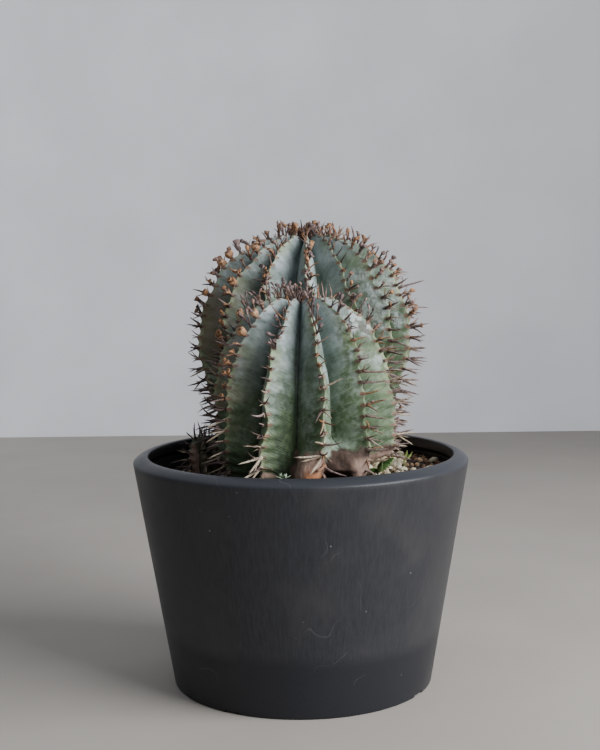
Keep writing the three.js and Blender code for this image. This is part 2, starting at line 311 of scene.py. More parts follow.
def pot_tree(material):
    """Turns the pot's wall line round Z, then cuts the drain holes and the notches of the foot ring."""
    tree, given = new_tree("turned_pot", Sides=224, Drain_Radius=5 * MM, Drain_Circle=42 * MM, Drain_Count=6,
                           Notch_Count=4, Notch_Width=9 * MM, Notch_Depth=12 * MM, Notch_Height=1.2 * MM,
                           Notch_Circle=68 * MM, Notch_Turn=math.radians(-31))
    line = given["Geometry"]
    size = result(tree, "GeometryNodeAttributeDomainSize", line, output="Point Count")
    columns = given["Sides"] + 1
    sheet = result(tree, "GeometryNodeMeshGrid", Vertices_X=size, Vertices_Y=columns, output="Mesh")
    index = result(tree, "GeometryNodeInputIndex")
    station = (index / columns).maths("FLOOR")
    turn = (index - station * columns) * (2 * math.pi) / given["Sides"]
    radius, _, height = parts_of(result(
        tree, "GeometryNodeSampleIndex", Geometry=line, Value=result(tree, "GeometryNodeInputPosition"),
        Index=station, data_type="FLOAT_VECTOR"))

    def round_z(angle, out, rise):
        return vector_of(tree, angle.maths("COSINE") * out, angle.maths("SINE") * out, rise)

    def ring(shape, count, circle, first, rise):
        angle = index * (2 * math.pi) / count + first
        points = result(tree, "GeometryNodePoints", Count=count, Position=round_z(angle, circle, rise))
        return copies(points, shape, vector_of(tree, z=angle))

    wall = result(tree, "GeometryNodeSetPosition", sheet, Position=round_z(turn, radius, height))
    closed = result(tree, "GeometryNodeMergeByDistance", wall, Distance=0.01 * MM)
    drill = result(tree, "GeometryNodeMeshCylinder", Vertices=32, Radius=given["Drain Radius"], Depth=20 * MM,
                   output="Mesh")
    block = result(tree, "GeometryNodeMeshCube", output="Mesh", Size=vector_of(
        tree, given["Notch Depth"], given["Notch Width"], given["Notch Height"] * 2.0))
    drains = ring(drill, given["Drain Count"], given["Drain Circle"], 0.0, 4 * MM)
    notches = ring(block, given["Notch Count"], given["Notch Circle"], given["Notch Turn"], 0.0)
    holed = result(tree, "GeometryNodeMeshBoolean", Mesh_1=closed, Mesh_2=joined((drains, notches, drill)),
                   operation="DIFFERENCE", solver="EXACT", output="Mesh")
    return finished(holed, material)


def mottle_group():
    """Two colours mixed by fine noise, which also gives a height: used by every mottled finish here."""
    group = bpy.data.node_groups.new("mottle", "ShaderNodeTree")
    for way, kind, names in (("INPUT", "Vector", ["Vector"]), ("INPUT", "Color", ["Dark", "Light"]),
                             ("INPUT", "Float", ["Scale", "Detail", "From", "To"]),
                             ("OUTPUT", "Color", ["Color"]), ("OUTPUT", "Float", ["Mask"])):
        for name in names:
            group.interface.new_socket(name, in_out=way, socket_type="NodeSocket" + kind)
    given = given_to(group)
    mask = noise_at(given["Vector"], given["Scale"], given["Detail"]).ranged(given["From"], given["To"])
    add_node(group, "NodeGroupOutput", mix_colour(mask, given["Dark"], given["Light"]), mask)
    return group


mottle = mottle_group()


def mottled(vector, dark, light, *noise_and_range):
    """The mottle group placed in a material: its colour and its mask."""
    made = add_node(vector.tree, "ShaderNodeGroup", vector, dark, light, *noise_and_range, node_tree=mottle)
    return [Field(output) for output in made.outputs]


def stretched(vector, scale):
    return result(vector.tree, "ShaderNodeMapping", vector, Scale=scale)


def coated(surface, colour, roughness, height, distance, strength=1.0):
    """Joins a finish to its shader: the colour, the roughness, and the relief's height and depth."""
    relief = result(surface.id_data, "ShaderNodeBump", Height=height, Distance=distance, Strength=strength)
    for socket, value in (("Base Color", colour), ("Roughness", roughness), ("Normal", relief)):
        put(surface, socket, value)


charcoal, surface, spot = new_material("charcoal_plastic", Specular_IOR_Level=0.32)
streaks, _ = mottled(stretched(spot, (1, 1, 0.035)), (0.019, 0.02, 0.0238), (0.0282, 0.0297, 0.035),
                     800, 5, 0.3, 0.7)
clouds, cloud_mask = mottled(spot, streaks, (0.042, 0.0415, 0.0425), 26, 5, 0.5, 0.85)
height = parts_of(spot)[2]
above_band = (noise_at(spot, 18, 3) * 0.009 + height).ranged(0.032, 0.039)
shaded = mix_colour(above_band, (0.015, 0.0162, 0.0205), clouds)
# Painted highlight: the top of the lip is lighter and bluer, standing in for the sheen of the light on it.
painted_lip_highlight = height.ranged(0.1195, 0.1215)
shaded = mix_colour(painted_lip_highlight, shaded, (0.029, 0.032, 0.04))
patchy = noise_at(spot, 31, 4)
from_line = (noise_at(spot, 24, 2) - 0.5).maths("ABSOLUTE")
scratch = from_line.ranged(0, 0.0035, 0.5, 0) * patchy.ranged(0.56, 0.64)
scratched = mix_colour(scratch, shaded, (0.1, 0.1, 0.105))
from_speck = result(spot.tree, "ShaderNodeTexVoronoi", spot, Scale=115, output="Distance")
dust = from_speck.maths("LESS_THAN", patchy.ranged(0.45, 0.8, 0, 0.11))
coated(surface, mix_colour(dust, scratched, (0.12, 0.115, 0.105)), cloud_mask.ranged(0, 1, 0.4, 0.56),
       noise_at(spot, 1400, 3), 0.06 * MM)

pot_inside = pot_foot + pot_floor
foot_inner = pot_base_radius - pot_foot_width
pot_line = [(0, pot_foot), (foot_inner, pot_foot), (foot_inner, 0), (pot_base_radius - 0.7 * MM, 0),
            (outer_radius(0.2 * MM) - 0.15 * MM, 0.2 * MM), (outer_radius(0.8 * MM), 0.8 * MM)]
pot_line += [(outer_radius(h * MM), h * MM) for h in (2, 20, 40, 60, 80, 100, 112, 118)]
pot_line += [(r * MM, z * MM) for r, z in pot_lip]
pot_line += [(inner_radius(h), h) for h in (pot_lip_underside, 90 * MM, 40 * MM, pot_inside + pot_corner)]
pot_line += [(inner_radius(pot_inside) - pot_corner, pot_inside), (0, pot_inside)]
line_edges = [(i, i + 1) for i in range(len(pot_line) - 1)]
pot = piece_from("pot_line", [(r, 0, z) for r, z in pot_line], edges=line_edges)
pot = grown(pot, pot_tree(charcoal), "pot_moulded")
pot.data.set_sharp_from_angle(angle=math.radians(38))
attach(pot, "root")
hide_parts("pot")


# The soil: a bed of dark gritty mix filling the pot to a finger below the rim. Cream pumice lies on it to
# the right, tan and reddish grains behind and to the left, and dark bark crumbs everywhere.
bed_level = 110.6 * MM
bed_slope = 0.03
bed_gap = 0.4 * MM
bed_rings = 44
bed_sides = 120
bed_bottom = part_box("soil")[0].z
bed_radius = inner_radius(bed_level) - bed_gap


def bed_height(x, y):
    """The bed's top at a spot, with its small hills and dips."""
    rough = noise.noise(Vector((x, y, 0)) * 60) * 1.1 + noise.noise(Vector((x, y, 3)) * 210) * 0.55
    return bed_level + bed_slope * x + rough * MM


def circle(sides):
    return [(math.cos(2 * math.pi * i / sides), math.sin(2 * math.pi * i / sides)) for i in range(sides)]


def add_loft(points, faces, rings, ends, cut=0):
    """Adds a closed skin over equal rings of points, fanned to a point at each end.

    With cut at 1 its quads are split by their other diagonal.
    """
    first, sides = len(points), len(rings[0])
    points += [point for ring in rings for point in ring] + list(ends)
    base = len(points) - 2
    last = base - sides
    for i in range(sides):
        j = (i + 1) % sides
        faces += [(base, first + j, first + i), (base + 1, last + i, last + j)]
        for a in range(first, last, sides):
            quad = (a + i, a + j, a + sides + j, a + sides + i)
            faces.append(quad[cut:] + quad[:cut])


def bed_piece():
    """The bed as one solid: rings of points in under it, up its side and over its top."""
    points, faces = [], []
    below = [(inner_radius(bed_bottom) - pot_corner - bed_gap, bed_bottom),
             (inner_radius(bed_bottom + pot_corner) - bed_gap, bed_bottom + pot_corner)]
    rings = [[(radius * x, radius * y, z) for x, y in circle(bed_sides)] for radius, z in below]
    for k in range(bed_rings, 0, -1):
        r = bed_radius * k / bed_rings
        rings.append([(r * x, r * y, bed_height(r * x, r * y)) for x, y in circle(bed_sides)])
    add_loft(points, faces, rings, [(0, 0, bed_bottom), (0, 0, bed_height(0, 0))], cut=1)
    return piece_from("soil_bed", points, faces)


soil_dark, surface, spot = new_material("gritty_mix")
crumbs, crumb_height = mottled(spot, (0.009, 0.006, 0.005), (0.055, 0.036, 0.024), 420, 5, 0.35, 0.75)
coated(surface, crumbs, crumb_height.ranged(0, 1, 0.85, 1), crumb_height, 1.2 * MM)
bed = bed_piece()
bed.data.materials.append(soil_dark)
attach(bed, "root")
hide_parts("soil")


def named(tree, name, kind="FLOAT"):
    return result(tree, "GeometryNodeInputNamedAttribute", name, data_type=kind, output="Attribute")


def crumpled(geometry, amount, scale):
    """Moves every point by noise, so that no two copies of a shape look alike."""
    tree = geometry.tree
    where = result(tree, "GeometryNodeInputPosition")
    cloud = result(tree, "ShaderNodeTexNoise", where, Scale=scale, Detail=1.0, output="Color")
    centred = result(tree, "ShaderNodeVectorMath", cloud, (0.5, 0.5, 0.5), operation="SUBTRACT")
    shift = result(tree, "ShaderNodeVectorMath", centred, Scale=amount, operation="SCALE")
    return result(tree, "GeometryNodeSetPosition", geometry, Offset=shift)


def grain_tree(material):
    """A lumpy stone on every point, sized and turned by the point's own values."""
    tree, given = new_tree("scattered_grains", Lumps=1.3 * MM, Lump_Scale=300.0)
    stone = result(tree, "GeometryNodeMeshUVSphere", Segments=8, Rings=5, Radius=1.0, output="Mesh")
    stones = copies(given["Geometry"], stone, named(tree, "turn", "FLOAT_VECTOR"),
                    Scale=named(tree, "size", "FLOAT_VECTOR"))
    return finished(crumpled(joined([stones]), given["Lumps"], given["Lump Scale"]), material)


def keep_values(piece, **values):
    """Keeps named numbers or vectors on a piece's points, for its finish or its tree to read."""
    for label, numbers in values.items():
        numbers = np.array(numbers, np.float32)
        kind, slot = ("FLOAT_VECTOR", "vector") if numbers.ndim > 1 else ("FLOAT", "value")
        piece.data.attributes.new(label, kind, "POINT").data.foreach_set(slot, numbers.reshape(-1))
    return piece


def in_a_stem(x, y, spare):
    """Whether a spot on the soil is inside one of the stems' feet."""
    for cx, cy, rx, front, back in ((1.7, 36, 40, 24, 31), (2.8, -25, 32, 32, 22), (-52, 6, 8, 8, 8)):
        ry = front if y < cy * MM else back
        if math.hypot((x - cx * MM) / (rx * MM - spare), (y - cy * MM) / (ry * MM - spare)) < 1:
            return True
    return False


def scattered_grains(seed, tries):
    """Grains laid side by side on the bed, larger and paler where pumice collects."""
    draw = random.Random(seed)
    closeness = 0.72
    spots, sizes, turns, tints, radii = np.zeros((0, 2)), [], [], [], np.zeros(0)
    for _ in range(tries):
        out, turn = bed_radius * math.sqrt(draw.random()), draw.random() * 2 * math.pi
        x, y = out * math.cos(turn), out * math.sin(turn)
        pumice = max(0.06, min(1, (x - 20 * MM) / (18 * MM))) if y < 30 * MM else 0.25
        pumice *= 0.2 if x > 60 * MM and y > -4 * MM else 1
        tan = 0.6 if x < -40 * MM or x > 66 * MM or y > 25 * MM else 0.3
        pick = draw.random() - noise.noise(Vector((x, y, 8)) * 45) * 0.35
        sizes_mm, shades = (0.6, 1.5), (0.0, 0.3)
        if pick < pumice * 0.55:
            sizes_mm, shades = (1.7, 3.8), (0.8, 1.0)
        elif pick < pumice * 0.55 + tan * 0.5:
            sizes_mm, shades = (0.9, 2.2), (0.35, 0.72)
        radius, tint = draw.uniform(*sizes_mm) * MM, draw.uniform(*shades)
        if out > bed_radius - radius * 0.8 or in_a_stem(x, y, radius):
            continue
        if len(spots) and np.min(np.hypot(spots[:, 0] - x, spots[:, 1] - y) - radii) < radius * closeness:
            continue
        spots = np.vstack([spots, (x, y)])
        radii = np.append(radii, radius * closeness)
        sizes.append([radius * draw.uniform(*span) for span in ((0.85, 1.2), (0.85, 1.2), (0.6, 0.95))])
        turns.append([draw.uniform(-0.5, 0.5), draw.uniform(-0.5, 0.5), draw.uniform(0, 6.3)])
        tints.append(tint)
    points = [(x, y, bed_height(x, y) + r * 0.35) for (x, y), r in zip(spots, radii)]
    return keep_values(piece_from("grain_spots", points), size=sizes, turn=turns, tint=tints)


def attribute(spot, name):
    return result(spot.tree, "ShaderNodeAttribute", output="Fac", attribute_name=name)


def colour_steps(value, steps):
    """A colour that runs through the given (place, colour) steps."""
    node = add_node(value.tree, "ShaderNodeValToRGB", value)
    stops = node.color_ramp.elements
    for place, _ in steps[2:]:
        stops.new(place)
    for stop, (place, colour) in zip(stops, steps):
        stop.position = place
        stop.color = (*colour, 1)
    return Field(node.outputs["Color"])


def dry_material(name, steps, pits, rough, bump, ends=()):
    """A dry finish: the colour of each copy's tint, dark in its pits, and shaded by ranges of its reach."""
    material, surface, spot = new_material(name)
    pitted, pit_height = mottled(spot, *pits)
    colour = mix_colour(1.0, colour_steps(attribute(spot, "tint"), steps), pitted, "MULTIPLY")
    for span, shade in ends:
        colour = mix_colour(attribute(spot, "reach").ranged(*span), colour, shade)
    coated(surface, colour, pit_height.ranged(0, 1, *rough), pit_height, bump)
    return material


grit = dry_material("grit", [
    (0, (0.016, 0.011, 0.008)), (0.28, (0.07, 0.042, 0.027)), (0.42, (0.2, 0.1, 0.06)),
    (0.58, (0.3, 0.19, 0.11)), (0.72, (0.44, 0.31, 0.19)), (0.85, (0.68, 0.57, 0.38)),
    (1, (0.9, 0.84, 0.68))],
    ((0.55, 0.5, 0.44), (1, 1, 1), 900, 4, 0.35, 0.6), (1, 0.82), 0.4 * MM)
grains = grown(scattered_grains(11, 7000), grain_tree(grit), "grit_on_the_bed")
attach(grains, "root")


# The taller stem: one grown column of fourteen sharp ribs, blue-grey above and green below. Each crest is
# a thin pale margin, wavy with low bumps that carry the spines. It is rooted behind the shorter stem.
def ramp(value, low, high):
    """A smooth step from 0 to 1."""
    share = np.clip((value - low) / (high - low), 0, 1)
    return share * share * (3 - 2 * share)


class Stem:
    """A stem's outlines and ribs, as they are in the solids, with what its skin and spines are drawn by.

    Sizes are in mm, outlines are (radius, height), and a rib is (azimuth, twist) in degrees.
    """

    def __init__(self, axis, lean, flatten, crest, valley, ribs, foot, cork, pitch, seed):
        self.flatten = flatten
        in_mm = (axis, lean, crest, valley, np.full(len(ribs), foot), cork, pitch)
        self.axis, self.lean, self.crest, self.valley, self.foot, self.cork, self.pitch = (
            np.array(size) * MM for size in in_mm)
        self.azimuth, self.twist = np.radians(ribs).T
        draw = random.Random(seed)
        self.phase = np.array([draw.random() for _ in ribs])
        self.sway = np.array([[draw.random() * 2 * math.pi for _ in range(3)] for _ in ribs])

    def share_up(self, z):
        low, high = self.crest[1][1], self.crest[-2][1]
        return np.clip((z - low) / (high - low), 0, 1)

    def facing(self, rib, z):
        """Where a rib faces at a height: 0 to the front, a quarter turn to +X."""
        count = len(self.azimuth)
        turn = self.azimuth[rib % count] + self.twist[rib % count] * (self.share_up(z) - 0.5)
        return turn + 2 * math.pi * np.floor_divide(rib, count)

    def place(self, facing, radius, z):
        away = -np.cos(facing)
        depth = radius * away * np.where(away < 0, self.flatten[0], self.flatten[1])
        x = self.axis[0] + self.lean * self.share_up(z) + radius * np.sin(facing)
        return np.stack([x, self.axis[1] + depth, z], -1)

    def standing(self, rib, z):
        """How far a rib stands out at a height: it fades away under its foot."""
        foot = self.foot[rib % len(self.foot)]
        return ramp(z, foot - 14 * MM, foot)


def smooth_outline(points, shares):
    """Points along the smooth curve through an outline, at shares from 0 to 1 of its points."""
    last = len(points) - 1
    where = np.clip(np.asarray(shares, float) * last, 0, last)
    k = np.minimum(where.astype(int), last - 1)
    t = (where - k)[..., None]
    weights = (2 * t**2 - t - t**3, 2 - 5 * t**2 + 3 * t**3, t + 4 * t**2 - 3 * t**3, t**3 - t**2)
    return sum(weight * points[np.clip(k + i, 0, last)] for i, weight in enumerate(weights, -1)) / 2


def outline_run(points, shares):
    """How far along the outline each share lies, from its first point."""
    path = smooth_outline(points, shares)
    return np.concatenate([[0], np.cumsum(np.linalg.norm(np.diff(path, axis=0), axis=1))])


knot_length = 3.7 * MM


def spread_foot(foot, z, facing, radius, cork):
    """One woody toe: it swells the radius over its span of facings and turns it to cork.

    A foot is (first and last facing and how far each slants by the bottom, in degrees; its top, its
    middle, how far out it is and how deep it is undercut, in mm).
    """
    low, high, low_slant, high_slant, top, middle, out_to, under = foot
    down = ramp(z, top * MM, (top - 18) * MM)
    ragged = 1.2 * np.sin(z / knot_length)
    start = np.radians(low + low_slant * down + ragged)
    end = np.radians(high + high_slant * down + ragged)
    inside = ramp(facing, start - 0.06, start + 0.05) * (1 - ramp(facing, end - 0.05, end + 0.06))
    bulge = 3.5 * MM * np.cos((facing - (start + end) / 2) / (end - start) * math.pi)
    bulge = bulge - 6 * MM * np.clip((z - middle * MM) / (12 * MM), -1, 1.2) ** 2
    hollow = (1 - ramp(z, 119.5 * MM, 125.5 * MM)) * (1 - ramp(facing, math.radians(22), math.radians(33)))
    knots = 0.35 * MM * np.sin(z / knot_length + 4 * facing) + 0.3 * MM * np.sin(facing * 23 + z / (6 * MM))
    wave = 1.3 * np.sin(9 * facing) + 0.9 * np.sin(23 * facing + 1)
    inside_below = inside * (1 - ramp(z + wave * MM, (top - 8) * MM, (top + 4) * MM))
    grown_out = out_to * MM + bulge + knots - under * MM * hollow
    swelling = np.maximum(grown_out - radius, (25 * MM - radius) * hollow * under / 14)
    return radius + swelling * inside_below, np.maximum(cork, ramp(inside_below, 0.1, 0.95))


margin_width = 0.07  # of the way from a crest to the next valley
margin_rise = 0.35 * MM
notch_depth = 0.75 * MM
swell_height = 0.5 * MM
roll_height = 1.3 * MM
crease_depth = 0.16 * MM
crease_length = 1.9


def stem_piece(name, stem, rows, per_rib, feet=(), press=None):
    """The ribbed skin: a grid from root to growing point, with what its finish reads kept on its points."""
    ribs = len(stem.azimuth)
    shares = np.arange(rows) / rows
    crest = smooth_outline(stem.crest, shares)
    valley = smooth_outline(stem.valley, shares)
    step = np.linspace(-1, 1, per_rib + 1)[:-1]
    row, rib, column = np.meshgrid(np.arange(rows), np.arange(ribs), np.arange(per_rib), indexing="ij")
    off = (step * (0.3 + 0.7 * np.abs(step)))[column]
    width = np.abs(off)
    along = outline_run(stem.crest, shares)[row]
    beat = 2 * math.pi * (along / stem.pitch + stem.phase[rib])
    sway_a, sway_b, sway_c = (stem.sway[rib, k] for k in range(3))

    def wave(length, shift):
        return np.sin(along / (length * MM) + shift)

    standing = stem.standing(rib, crest[row, 1])
    up = stem.share_up(crest[row, 1])
    crown = 1 - ramp(shares[row], 0.88, 1.0)
    depth = 0.75 + 0.45 * wave(17, sway_b)
    notch = notch_depth * depth * (0.5 + 0.5 * np.cos(beat)) ** 2 * (1 - ramp(width, 0.05, 0.4))
    swell = swell_height * -np.cos(beat + 1.2 * width) * np.exp(-((width - 0.25) / 0.2) ** 2)
    roll = roll_height * wave(5.2, sway_c) * wave(12.7, sway_a)
    roll *= (1 - ramp(width, 0.1, 0.8)) * ramp(along, 0.02, 0.05)
    rise = margin_rise * (1 - ramp(width, margin_width * 0.5, margin_width * 1.5))
    rise = rise * (1 + 1.8 * (0.5 - 0.5 * np.cos(beat)) ** 3)
    creases = crease_depth * wave(crease_length, 5.5 * width + 1.3 * wave(6, sway_c + 3 * off))
    creases *= ramp(width, 0.12, 0.5) * (1 - 0.6 * ramp(up, 0.25, 0.7))
    out = (1 - 0.62 * width - 0.38 * width**2) * standing
    extra = (rise - notch + swell + creases + roll) * standing * crown
    radius = valley[row, 0] + (crest[row, 0] - valley[row, 0]) * out + extra
    z = valley[row, 1] + (crest[row, 1] - valley[row, 1]) * out
    here = stem.facing(rib, z)
    beside = stem.facing(rib + np.where(off < 0, -1, 1), z)
    wander = np.radians(1.9) * wave(10.5, sway_a) * ramp(along, 0.01, 0.04)
    wander += np.radians(1.1) * wave(4.1, sway_b)
    facing = here + (beside - here) * 0.5 * width + wander * (1 - width) * crown
    cork_line = stem.cork[rib] + 3 * MM * wave(4.5, 7 * off) * (0.4 + width)
    cork = 1 - ramp(z, cork_line - 2.5 * MM, cork_line + 3 * MM)
    for foot in feet:
        radius, cork = spread_foot(foot, z, facing, radius, cork)
    points = stem.place(facing, radius, z)
    if press:
        points = press(points)
    skin, faces = [], []
    ends = [stem.place(0.0, 0.0, height) for height in (stem.crest[0][1], stem.crest[-1][1])]
    add_loft(skin, faces, points.reshape(rows, -1, 3), ends)
    kept = {
        "rib_share": width,
        "side": off + 2 * rib,
        "run": along / stem.pitch + stem.phase[rib],
        "share_up": stem.share_up(z),
        "cork": cork,
        "site": (0.5 - 0.5 * np.cos(beat)) ** 3 * (1 - ramp(width, 0.05, 0.26)),
    }
    return keep_values(piece_from(name, skin, faces),
                       **{label: np.append(values, [0, 0]) for label, values in kept.items()})


tall = Stem(
    axis=(1.7, 36), lean=2.4, flatten=(0.6, 0.78),
    crest=[(38, 96), (43.5, 112), (46.8, 126), (50.5, 141), (56, 157), (60, 174), (60.3, 190),
           (55.5, 207), (47.5, 221.5), (37, 231), (25, 237), (13, 240.5), (0, 235)],
    valley=[(35, 96), (38.5, 112), (38, 126), (38, 141), (38.5, 157), (38.5, 174), (36, 190),
            (31.5, 203), (26, 213.5), (19.5, 222), (12.5, 228.5), (6, 233), (0, 235)],
    ribs=[(-102, -14), (-74, -8), (-46, 0), (-21, -9), (7, -14), (27, -3), (50, -2), (72, 4), (99, -4),
          (127, 0), (155, 0), (182, 0), (207, 0), (232, -6)],
    foot=104, cork=[122, 118, 118, 118, 118, 118, 122, 126, 128, 126, 122, 118, 120, 124], pitch=6, seed=41)
short = Stem(
    axis=(2.8, -25), lean=-1.7, flatten=(1, 0.66),
    crest=[(27, 96), (34, 112), (43, 121), (46.3, 132), (46.5, 145), (46.2, 158), (44, 171),
           (39.5, 184), (33, 195), (24.5, 203), (14, 208), (0, 204)],
    valley=[(23, 96), (25.5, 112), (27, 121), (28, 132), (28, 145), (27, 158), (24.5, 171),
            (20.5, 182), (15, 191.5), (9.5, 198), (4.5, 202.5), (0, 204)],
    ribs=[(-57, 18), (-24, 16), (11, 0), (41, 0), (82, 1), (114, 0), (146, 0), (178, 0), (210, 0), (242, 4),
          (274, 8)],
    foot=[108, 108, 116, 118, 130, 130, 124, 104, 104, 118, 118],
    cork=[108, 122, 132, 132, 131, 130, 126, 120, 116, 116, 110], pitch=5.5, seed=52)


def pressed_back(points):
    """The taller stem lies flat against the shorter one where they meet."""
    z = points[..., 2]
    profile = smooth_outline(short.crest, np.linspace(0, 0.999, 200))
    wide = np.interp(z, profile[:, 1], profile[:, 0], right=0)
    middle = short.axis[0] + short.lean * short.share_up(z)
    half = np.sqrt(np.clip(wide**2 - (points[..., 0] - middle) ** 2, 0, None))
    limit = short.axis[1] + short.flatten[1] * half + 0.7 * MM
    moved = points.copy()
    moved[..., 1] = np.where((half > 0) & (moved[..., 1] < limit), limit, moved[..., 1])
    return moved


def float_curve(value, points):
    node = add_node(value.tree, "ShaderNodeFloatCurve", Value=value)
    curve = node.mapping.curves[0]
    curve.points[0].location = points[0]
    curve.points[1].location = points[-1]
    for point in points[1:-1]:
        curve.points.new(*point)
    for point in curve.points:
        point.handle_type = "VECTOR"
    node.mapping.update()
    return Field(node.outputs["Value"])


def skin_material(name, wax_low, wax_high, shade=1.0, crust=0.0):
    """The stems' skin: green flanks under blue-grey wax, a pale margin, brown scars, and cork at the foot."""
    # shade scales most of the skin's colours, so one skin can be made as a darker copy: painted shade, as on
    # the offset.
    def tone(*colour):
        return [part * shade for part in colour]

    material, surface, spot = new_material(name)
    along_x, along_y, along_z = parts_of(spot)
    rib_share, side, run, share_up, cork, site = (
        attribute(spot, key) for key in ("rib_share", "side", "run", "share_up", "cork", "site"))
    lines = vector_of(spot.tree, side, rib_share * 1.7 + run)
    wrinkles = noise_at(stretched(lines, (1.7, 4.8, 1)), 1, 6, 1.5)
    patches = noise_at(stretched(lines, (1.1, 0.36, 1)), 1, 6, 0.8)
    broad = noise_at(spot, 34, 3)
    cloudy = noise_at(spot, 95, 6)
    fine = noise_at(spot, 400, 3)

    # Green below and wax above, with less wax on the right where the skin is crusted.
    green, _ = mottled(spot, tone(0.052, 0.092, 0.041), tone(0.132, 0.195, 0.098), 62, 6, 0.3, 0.7)
    blue, _ = mottled(spot, tone(0.185, 0.245, 0.242), tone(0.37, 0.425, 0.44), 70, 6, 0.3, 0.7)
    waxed = (cloudy + (wrinkles * 0.3 + patches)) * 0.62 + share_up
    waxed = waxed + along_x.ranged(0.018, 0.034, 0, -1.15 * crust**2)
    flank = mix_colour(waxed.ranged(wax_low, wax_high), green, blue)

    # One noise makes both the pale dust and the dark lines. A curve across X shifts it flank by flank low on
    # the stems: painted light on flanks that lie in shade, and painted shade on flanks that face the light.
    flank_light_and_shade = float_curve(along_x.ranged(-0.02, 0.04), [
        (0, 0.5), (0.1, 0.5), (0.14, 0.22), (0.22, 0.22), (0.27, 0.5), (0.31, 0.78), (0.42, 0.78),
        (0.47, 0.6), (0.53, 0.8), (0.8, 0.8), (0.86, 0.6), (0.92, 0.65), (1, 0.65)]) - 0.5
    mixed = cloudy * 0.5 + wrinkles * 0.37 + along_x.ranged(0.027, 0.034, -0.08, -0.08 - 0.07 * crust)
    mixed = mixed + fine * 0.49 + flank_light_and_shade * along_z.ranged(0.163, 0.176, crust * 0.4, 0)
    pale = mixed.ranged(0.63, 0.8, 0, 0.42)
    young = rib_share.ranged(0.5, 0.1) * broad.ranged(0.5, 0.64, 0, 0.6)
    bloom = (fine * 0.4 + cloudy).ranged(0.72, 0.82) * rib_share.ranged(0.75, 0.15, 0, 0.55)
    bloom = bloom * share_up.ranged(0.45, 0.8, 0.12, 1)
    dark = mixed.ranged(0.575, 0.45) * share_up.ranged(0.25, 0.75, 0.68, 0.38)
    dried = along_x.ranged(-0.018, -0.046, 0, 0.75) * (broad + cloudy * 0.6).ranged(0.72, 0.86)

    # The crusted shoulder, the shade deep in the grooves, the horny margin and the scars on it.
    scales, scale_height = mottled(spot, (0.1, 0.095, 0.08), tone(0.46, 0.52, 0.52), 290, 4, 0.4, 0.55)
    on_shoulder = along_x.ranged(0.014, 0.026, 0, crust) * along_z.ranged(0.172, 0.19)
    crusted = on_shoulder * cloudy.ranged(0.44, 0.6)
    deep = rib_share.ranged(along_x.ranged(-0.013, -0.008, 0.72, 0.93), 1, 0, 0.88)
    margin = (noise_at(spot, 260, 3) * 0.12 + rib_share).ranged(margin_width + 0.1, margin_width + 0.03)
    shown = noise_at(spot, 48, 2).ranged(0.38, 0.62, 0.1, 0.85)
    horn, _ = mottled(spot, (0.2, 0.27, 0.13), (0.45, 0.5, 0.32), 240, 4, 0.35, 0.65)
    scar, _ = mottled(spot, (0.075, 0.04, 0.03), (0.27, 0.15, 0.1), 420, 3, 0.35, 0.65)
    scarred = (fine * 0.9 + (site - 0.45)).ranged(0.3, 0.62, 0, 0.95)

    # The woody foot: dark bark, pale flaking bark where light falls on it, and one rust-red toe.
    bark, bark_height = mottled(stretched(spot, (1, 1, 0.7)), (0.026, 0.0145, 0.0105), (0.08, 0.046, 0.032),
                                230, 5, 0.3, 0.7)
    flakes, _ = mottled(stretched(spot, (1, 1, 0.5)), (0.19, 0.12, 0.092), (0.39, 0.27, 0.215),
                        210, 5, 0.3, 0.7)
    rust = along_z.ranged(0.128, 0.123) * along_x.ranged(0, 0.003) * along_x.ranged(0.012, 0.0095)
    rust = rust * along_y.ranged(-0.05, -0.06)
    nub = along_z.ranged(0.131, 0.127) * along_x.ranged(0.024, 0.028)
    lit = along_x.ranged(0.0125, 0.0085) + nub
    woody = mix_colour(lit, bark, mix_colour(rust, flakes, (0.33, 0.13, 0.05)))
    torn = (cork + noise_at(spot, 240, 4).ranged(0.35, 0.65, -0.25, 0.25)).ranged(0.25, 0.75)
    worn = torn * cork.ranged(0, 0.1)

    colour = flank
    for amount, over in ((young, tone(0.27, 0.34, 0.15)), (pale, tone(0.4, 0.48, 0.42)),
                         (bloom, tone(0.45, 0.51, 0.54)), (dark, tone(0.03, 0.043, 0.028)),
                         (dried, tone(0.155, 0.112, 0.07)), (crusted, scales), (deep, (0.024, 0.021, 0.014)),
                         (margin * shown, horn), (scarred, scar), (worn, woody)):
        colour = mix_colour(amount, colour, over)
    folds = wrinkles * share_up.ranged(0.3, 0.8, 1, 0.5) * cork.ranged(0.1, 0.5, 1, 0)
    relief = (scale_height * crusted + bark_height * worn) * 0.8 + folds
    coated(surface, colour, cork.ranged(0, 1, 0.56, 0.88), relief, 0.9 * MM, 0.85)
    return material


tall_skin = stem_piece("stem_tall", tall, 210, 22, press=pressed_back)
tall_skin.data.materials.append(skin_material("waxy_skin_tall", 1.1, 1.7, 0.98, 0.45))
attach(tall_skin, "root")
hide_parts("stem_back")


# The shorter stem: the same growth with eleven ribs, rooted at the front of the pot. Its foot is a brown
# woody mass that spreads in two toes over the grit.
toes = [(2, 14.5, -12, -6, 138, 122, 47, 0), (15.5, 46, -6, 0, 136, 129, 45, 14)]
short_skin = stem_piece("stem_short", short, 180, 26, toes)
short_skin.data.materials.append(skin_material("waxy_skin_short", 1.1, 1.65, 1.0, 0.95))
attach(short_skin, "root")
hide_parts("stem_front")


